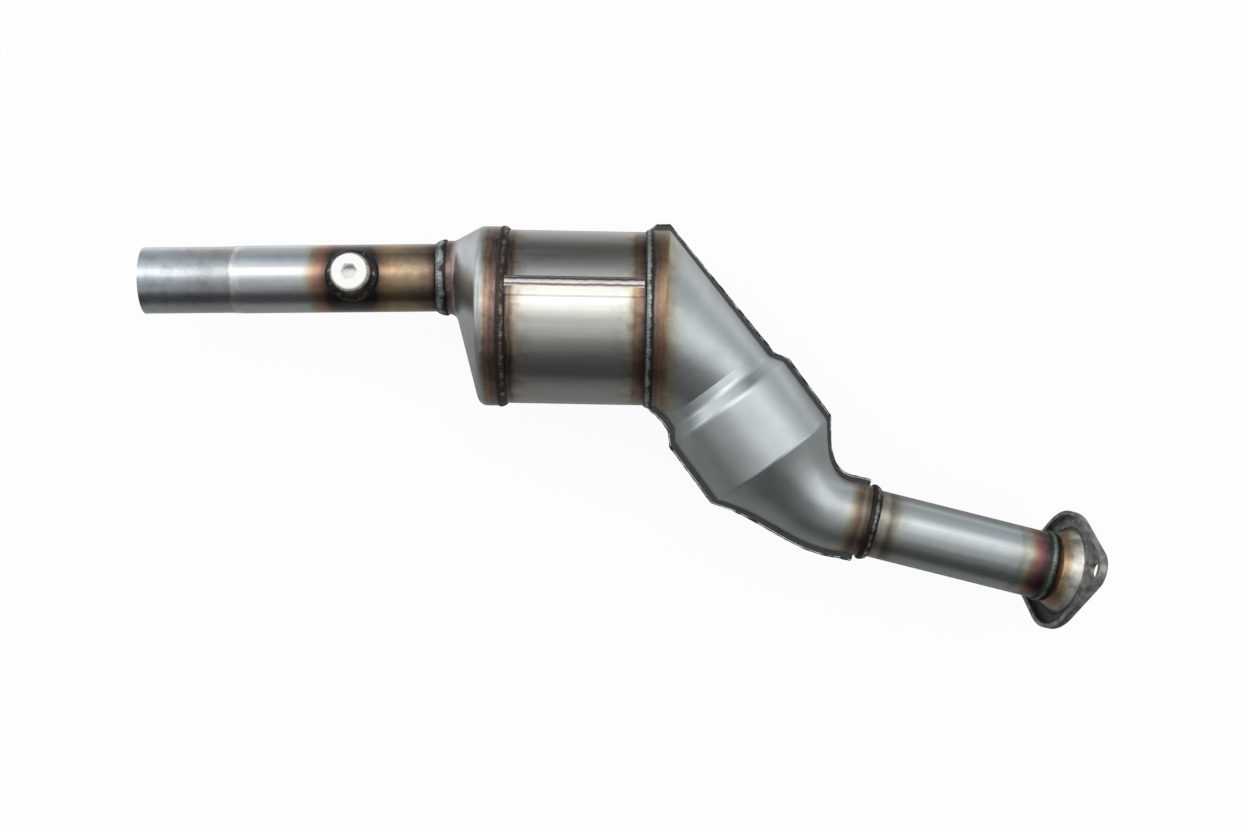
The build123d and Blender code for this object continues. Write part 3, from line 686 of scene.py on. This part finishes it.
# Each: station, shift past it, radius of the bead's middle, lean along the pipe, own sizes
rings = {
    "rear_collar_weld": ("neckEdge", 0.0017, 0.0264, -0.35,
                         {"Half width": 0.0046, "Height": 0.0016, "Seed": 3.0}),
    "rear_girth_weld": ("skirtEdge", 0.0014, 0.0656, 0.40, {"Half width": 0.0037, "Seed": 5.0}),
    "front_girth_weld": ("elbowEdge", -0.0001, 0.0653, -0.35,
                         {"Half width": 0.0035, "Height": 0.0017, "Seed": 7.0}),
    "front_collar_weld": ("frontEdge", 0.0008, 0.0262, 0.40,
                          {"Half width": 0.0040, "Height": 0.0021, "Seed": 11.0}),
    "socket_weld": ("pipeEnd", 0.0, 0.0250, 0.0,
                    {"Half width": 0.0038, "Height": 0.0017, "Seed": 13.0}),
}
for node, (station, shift, radius, lean, own) in rings.items():
    points, ups = ring(station, shift, radius, lean)
    sweepBead(node, points, ups, True, {**beadSizes, **own})

# Bead round the sensor boss, saddled on the pipe and leaning out from the boss
bossBead = {
    "pipeRadius": 0.0256, "ringRadius": 0.0164, "points": 72, "lean": 0.45,
    "sizes": {**beadSizes, "Half width": 0.0040, "Height": 0.0026, "Ripple depth": 0.0001,
              "Waver": 0.0007, "Seed": 17.0}}
centre, axis = stations["bossCentre"]
across = axis.cross(rearWay)
points, ups = [], []
for i in range(bossBead["points"]):
    angle = 2 * math.pi * i / bossBead["points"]
    outward = rearWay * math.cos(angle) + across * math.sin(angle)
    aside = bossBead["ringRadius"] * math.sin(angle)
    rise = math.sqrt(bossBead["pipeRadius"] ** 2 - aside ** 2)
    point = centre + outward * bossBead["ringRadius"] + axis * rise
    normal = Vector((0, point.y, point.z)).normalized()
    points.append(point)
    ups.append((normal + outward * bossBead["lean"]).normalized())
sweepBead("sensor_boss_weld", points, ups, True, bossBead["sizes"])

# Fine seam along the can's lap, its angle in degrees from the top
seam = {
    "radius": 0.0653, "angle": 19.8, "from": 0.0040, "to": 0.1050, "spans": 40,
    "sizes": {**beadSizes, "Half width": 0.0047, "Height": 0.0011, "Sunk": 0.2, "Pitch": 0.0016,
              "Ripple depth": 0.00006, "Waver": 0.0002, "Seed": 19.0}}
start, way = stations["skirtEdge"]
side = Vector((0, 0, 1)).cross(way).normalized()
angle = math.radians(seam["angle"])
outward = side * math.sin(angle) + Vector((0, 0, 1)) * math.cos(angle)
shares = [i / seam["spans"] for i in range(seam["spans"] + 1)]
points = [start + way * (seam["from"] + (seam["to"] - seam["from"]) * share)
          + outward * seam["radius"] for share in shares]
sweepBead("shell_seam_weld", points, [outward] * len(points), False, seam["sizes"])
print("ring beads swept")


# Burnt beads along the elbow's lips: the plain bars made lumpy, in metres
seamForm = {"voxel": 0.0005, "shrink": 0.0003, "swell": 0.0005, "swellScale": 150,
            "grit": 0.0002, "gritScale": 700}
seamLook = {
    "char": (0.026, 0.027, 0.029), "slag": (0.060, 0.062, 0.066), "patchSize": 5.0,
    "patchSpan": (0.4, 0.7), "patchRough": 0.4, "glint": (0.11, 0.11, 0.11), "speckSize": 0.8,
    "glintSpan": (0.62, 0.76), "glintShare": 0.3, "speckDepth": 0.1, "rough": 0.38, "metal": 0.8,
}


def makeSeamMetal(look):
    material, board = newMaterial("elbowSeamMetal")
    spot = board.place()
    patch = board.cloud(spot, look["patchSize"], detail=4.0, rough=0.6)
    speck = board.cloud(spot, look["speckSize"], rough=0.6)
    glint = board.step(speck, *look["glintSpan"]) * look["glintShare"]
    colour = board.blend(board.step(patch, *look["patchSpan"]), look["char"], look["slag"])
    colour = board.blend(glint, colour, look["glint"])
    rough = (look["rough"] + (patch - 0.5) * look["patchRough"]).clamp()
    return wear(board, material, colour, rough, speck * look["speckDepth"], metal=look["metal"])


def lumpySeam(node, seed):
    piece = bpy.data.objects.new(node + "_bead", nodes[node].data.copy())
    bpy.context.scene.collection.objects.link(piece)
    remesh = piece.modifiers.new("even", "REMESH")
    remesh.mode = "VOXEL"
    remesh.voxel_size = seamForm["voxel"]
    remesh.use_smooth_shade = True
    evaluated = piece.evaluated_get(bpy.context.evaluated_depsgraph_get())
    even = bpy.data.meshes.new_from_object(evaluated)
    piece.modifiers.clear()
    piece.data = even
    shifts = []
    for vertex in even.vertices:
        swell = seamForm["swell"] * noise.noise(vertex.co * seamForm["swellScale"] + Vector((seed, 0, 0)))
        grit = seamForm["grit"] * noise.noise(vertex.co * seamForm["gritScale"] + Vector((0, seed, 0)))
        shifts.append(vertex.normal * (swell + grit - seamForm["shrink"]))
    for vertex, shift in zip(even.vertices, shifts):
        vertex.co += shift
    even.materials.clear()
    even.materials.append(seamMetal)
    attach(piece, "root")
    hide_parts(node)


seamMetal = makeSeamMetal(seamLook)
lumpySeam("elbow_outer_seam_weld", 2.3)
lumpySeam("elbow_inner_seam_weld", 5.1)
print("elbow seams made lumpy")


# Inside and mating face: ceramic bricks, fibre mats and the lip weld
brickLook = {
    "colour": (0.55, 0.50, 0.42), "stain": (0.34, 0.28, 0.21), "patchSize": 12.0,
    "patchSpan": (0.4, 0.75), "patchShare": 0.6, "grit": (0.6, 0.6, 0.6), "gritSpan": (0.5, 0.8),
    "gritShare": 0.35, "gritRough": 0.3, "gritDepth": 0.15, "rough": 0.78,
}
matLook = {**brickLook, "colour": (0.78, 0.76, 0.71), "stain": (0.55, 0.52, 0.46),
           "grit": (4.0, 0.25, 0.25)}


def makeCeramic(name, look):
    material, board = newMaterial(name)
    spot = board.place()
    patch = board.cloud(spot, look["patchSize"], detail=4.0)
    grit = board.cloud(board.stretch(spot, look["grit"]), detail=4.0, rough=0.7)
    stained = board.step(patch, *look["patchSpan"]) * look["patchShare"]
    gritty = board.step(grit, *look["gritSpan"]) * look["gritShare"]
    shade = board.blend(stained, look["colour"], look["stain"])
    shade = board.blend(gritty, shade, look["stain"])
    rough = look["rough"] + (grit - 0.5) * look["gritRough"]
    return wear(board, material, shade, rough, grit * look["gritDepth"], metal=0.0)


brick = makeCeramic("brickCeramic", brickLook)
mat = makeCeramic("matFibre", matLook)
for node in ("main_brick", "second_brick"):
    dress(node, brick)
for node in ("main_mat", "second_mat"):
    dress(node, mat)
lipWeldLook = {
    **plainSteel, "colour": (0.30, 0.29, 0.28), "colour2": (0.16, 0.155, 0.15), "rough": 0.42,
    "grain": (0.8, 0.8, 0.8), "streak": (3.0, 3.0, 3.0), "pitDepth": 0.15}
dress("flange_weld", steel("lipWeldMetal", lipWeldLook, []))
print("inner pieces and lip weld dressed")

# Floor, white to the camera but for the object's shadow; to the metal it glows in grey strips, a painted
# light that the metal reflects. The strips run along the object, by Y, under its middle and past its two
# ends.
studio = {"floor": (0.82, 0.82, 0.82), "floorMiddle": (0.35, -0.1), "floorGap": 0.0003,
          "floorSize": 14, "cameraShare": 0.93, "glossyShare": 0.9, "rearEnd": (0.12, 0.24),
          "frontEnd": (0.46, 0.62), "level": 0.90, "lean": 0.30}
stripLow, stripHigh = -0.8, 0.7
middleStrip = [
    (-0.8, 0.08), (-0.42, 0.15), (-0.17, 0.20), (-0.06, 0.28), (0.0, 0.45), (0.077, 0.68),
    (0.125, 0.48), (0.19, 0.32), (0.31, 0.09), (0.7, 0.02)]
endStrip = [
    (-0.8, 0.12), (-0.42, 0.20), (-0.17, 0.26), (-0.06, 0.32), (0.03, 0.65), (0.09, 1.15),
    (0.15, 0.80), (0.3, 0.55), (0.7, 0.55)]
coolFrom, coolShare = 50, 0.06


def greys(board, value, low, high, stops):  # stops: (where, grey), a little cooler past coolFrom
    shades = []
    for at, grey in stops:
        cool = coolShare if at > coolFrom else 0.0
        shades.append((at, (grey * (1 - cool), grey, grey * (1 + cool)), 1))
    return board.ramp(value, low, high, shades)


floorPlace = (*studio["floorMiddle"], cadLow.z - studio["floorGap"])
bpy.ops.mesh.primitive_plane_add(size=studio["floorSize"], location=floorPlace)
floor = bpy.context.object
floor.name = "floor"
material, board = newMaterial("paleFloor")
spot = board.node("NewGeometry", {}, {}, "Position")
ahead = board.node("SeparateXYZ", {}, {0: spot}, "X")
middle = greys(board, ahead.out("Y"), stripLow, stripHigh, middleStrip)
ends = greys(board, ahead.out("Y"), stripLow, stripHigh, endStrip)
outer = 1.0 - board.step(ahead, *studio["rearEnd"]) + board.step(ahead, *studio["frontEnd"])
glow = board.blend(outer, middle, ends)
ray = board.node("LightPath", {}, {}, "Is Camera Ray")
glossy = ray.out("Is Glossy Ray")
diffuse = board.node("BsdfDiffuse", {}, {"Color": (*studio["floor"], 1)})
paint = board.blend(ray, glow, (1, 1, 1))
white = board.node("Emission", {}, {"Color": paint, "Strength": 1.0})
share = ray * studio["cameraShare"] + glossy * studio["glossyShare"]
mixed = board.node("MixShader", {}, {0: share, 1: diffuse, 2: white})
board.node("OutputMaterial", {}, {"Surface": mixed})
floor.data.materials.append(material)

# World: what bare metal sees. Each ramp is grey by the angle in degrees from straight up towards
# +Y. They take over from one another by the direction's X, from the middle to both ends, and one
# soft window stands low at the rear left.
skyLow, skyHigh = -95.0, 95.0
skies = {
    "middle": [
        (-95, 0.07), (-85, 0.055), (-78, 0.06), (-65, 0.075), (-53, 0.12), (-46, 0.20),
        (-38, 0.23), (-31, 0.34), (-26, 0.64), (-18, 0.78), (-9, 0.84), (-3, 1.06), (2, 1.22),
        (7, 1.65), (12, 2.05), (18, 2.0), (24, 1.70), (30, 1.50), (37, 1.20), (46, 0.88),
        (56, 0.62), (63, 0.44), (70, 0.26), (78, 0.15), (86, 0.08), (95, 0.03)],
    "rear": [
        (-95, 0.16), (-84, 0.10), (-75, 0.075), (-66, 0.07), (-58, 0.09), (-52, 0.16),
        (-45, 0.30), (-39, 0.47), (-30, 0.47), (-23, 0.43), (-16, 0.53), (-9, 0.62), (-3, 0.74),
        (4, 0.90), (11, 1.20), (18, 1.45), (26, 1.55), (34, 1.50), (42, 1.32), (50, 1.05),
        (62, 0.85), (80, 0.66), (95, 0.60)],
    "front": [
        (-95, 0.22), (-88, 0.11), (-78, 0.055), (-60, 0.075), (-45, 0.09), (-38, 0.11),
        (-29, 0.16), (-20, 0.27), (-11, 0.41), (-3, 0.49), (6, 0.66), (15, 0.95), (23, 1.28),
        (31, 1.60), (36, 1.52), (43, 1.18), (53, 0.90), (63, 0.72), (74, 0.60), (86, 0.53),
        (95, 0.46)],
    "farLeft": [
        (-95, 0.12), (-60, 0.22), (-40, 0.40), (-15, 0.22), (15, 0.22), (35, 0.55), (50, 1.2),
        (60, 1.5), (70, 1.0), (95, 0.6)],
    "farRight": [
        (-95, 0.12), (-60, 0.22), (-42, 0.42), (-28, 0.75), (-15, 1.05), (0, 1.20), (28, 1.22),
        (46, 0.74), (70, 0.55), (95, 0.45)],
}
skySpans = {"rear": (-0.25, -0.05), "front": (-0.02, 0.30), "farLeft": (-0.75, -0.45),
            "farRight": (0.42, 0.66)}
window = {"towards": (-0.88, 0.44, -0.08), "span": (0.80, 0.95), "light": (1.45, 1.48, 1.48)}

world = bpy.data.worlds.new("studio")
world.use_nodes = True
bpy.context.scene.world = world
board = Board(world.node_tree)
direction = board.node("TexCoord", {}, {}, "Generated")
ahead = board.node("SeparateXYZ", {}, {0: direction}, "X")
tilt = board.node("Math", {"operation": "ARCTAN2"}, {0: ahead.out("Y"), 1: ahead.out("Z")})
tilt = tilt * math.degrees(1)
tones = {name: greys(board, tilt, skyLow, skyHigh, stops) for name, stops in skies.items()}
shares = {name: board.step(ahead, *span) for name, span in skySpans.items()}
sky = board.blend(1.0 - shares["rear"], tones["middle"], tones["rear"])
sky = board.blend(shares["front"], sky, tones["front"])
sky = board.blend(1.0 - shares["farLeft"], sky, tones["farLeft"])
sky = board.blend(shares["farRight"], sky, tones["farRight"])
lowWindow = board.node("VectorMath", {"operation": "DOT_PRODUCT"},
                       {0: direction, 1: Vector(window["towards"]).normalized()}, "Value")
sky = board.blend(board.step(lowWindow, *window["span"]), sky, window["light"])
rays = board.node("LightPath", {}, {}, "Is Glossy Ray")
level = studio["level"] + ahead.out("Y") * studio["lean"]
plain = board.node("Background", {}, {"Color": (1, 1, 1, 1), "Strength": level})
seen = board.node("Background", {}, {"Color": sky, "Strength": 1.0})
backdrop = board.node("Background", {}, {"Color": (1, 1, 1, 1), "Strength": 1.0})
light = board.node("MixShader", {}, {0: rays, 1: plain, 2: seen})
light = board.node("MixShader", {}, {0: rays.out("Is Camera Ray"), 1: light, 2: backdrop})
board.node("OutputWorld", {}, {"Surface": light})

# Soft lamps, one high above the far side and one from the rear left
lamps = {
    "key": {"from": (0.25, 0.62, 1.25), "to": (0.35, -0.05, 0.0), "size": (1.5, 0.6), "watts": 1.5},
    "side": {"from": (-1.1, 0.1, 0.9), "to": (0.25, -0.03, 0.0), "size": (0.9, 1.2), "watts": 1.8},
}
for name, look in lamps.items():
    lamp = bpy.data.lights.new(name, "AREA")
    lamp.shape = "RECTANGLE"
    lamp.size, lamp.size_y = look["size"]
    lamp.energy = look["watts"]
    holder = bpy.data.objects.new(name, lamp)
    bpy.context.scene.collection.objects.link(holder)
    holder.location = look["from"]
    aim = Vector(look["to"]) - Vector(look["from"])
    holder.rotation_euler = aim.to_track_quat("-Z", "Y").to_euler()

# Camera straight above, as the photograph was taken
view = {"place": (0.35885, -0.10529, 1.3534), "turn": -0.55, "lens": 51.92, "sensor": 36.0}
camera = bpy.data.objects.new("camera", bpy.data.cameras.new("camera"))
bpy.context.scene.collection.objects.link(camera)
camera.location = view["place"]
camera.rotation_euler = (0, 0, math.radians(view["turn"]))
camera.data.lens = view["lens"]
camera.data.sensor_width = view["sensor"]
bpy.context.scene.camera = camera
bpy.context.scene.view_settings.view_transform = "Standard"
print("floor, world, lamps and camera set")
